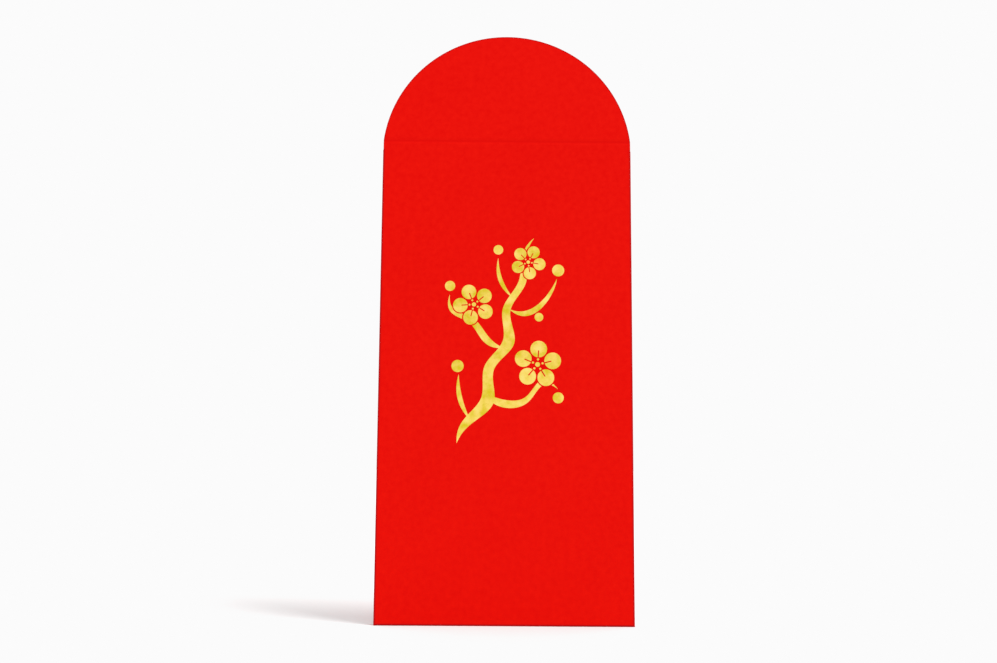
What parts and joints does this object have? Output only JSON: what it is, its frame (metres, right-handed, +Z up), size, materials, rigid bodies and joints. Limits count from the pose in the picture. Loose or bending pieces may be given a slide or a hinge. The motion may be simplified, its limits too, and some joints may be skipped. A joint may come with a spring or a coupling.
{
  "type": "red envelope",
  "caption": "Red card money envelope, open at the top, with a round flap on a scored crease, a folded and glued pocket with square-scored edges, and a gold foil plum sprig on its front.",
  "frame": {"origin": "on the ground at the middle of the bottom fold, halfway through its thickness", "axes": "+Z up along the packet, +X to the right seen from the front, +Y towards the back; the printed front faces -Y"},
  "size_m": [0.088, 0.0038, 0.2068],
  "materials": {
    "red_card": "satin",
    "seam_glue": "satin",
    "gold_foil": "satin"
  },
  "bodies": {
    "pocket": {"front_panel": "red_card", "left_side_fold": "red_card", "right_side_fold": "red_card", "bottom_fold": "red_card", "back_panel": "red_card", "side_tab": "red_card", "bottom_tab": "red_card", "flap_crease": "red_card", "side_seam_glue": "seam_glue", "bottom_tab_glue": "seam_glue", "foil_branch": "gold_foil", "foil_petals": "gold_foil", "foil_stamens": "gold_foil", "foil_buds": "gold_foil"},
    "flap": {"closing_flap": "red_card"}
  },
  "joints": [
    {"name": "flap_fold", "type": "hinge", "parent": "pocket", "child": "flap", "pos_m": [0, 0.00005, 0.168], "axis": [-1, 0, 0], "range_deg": [0, 180], "deforming": ["flap_crease"]}
  ]
}
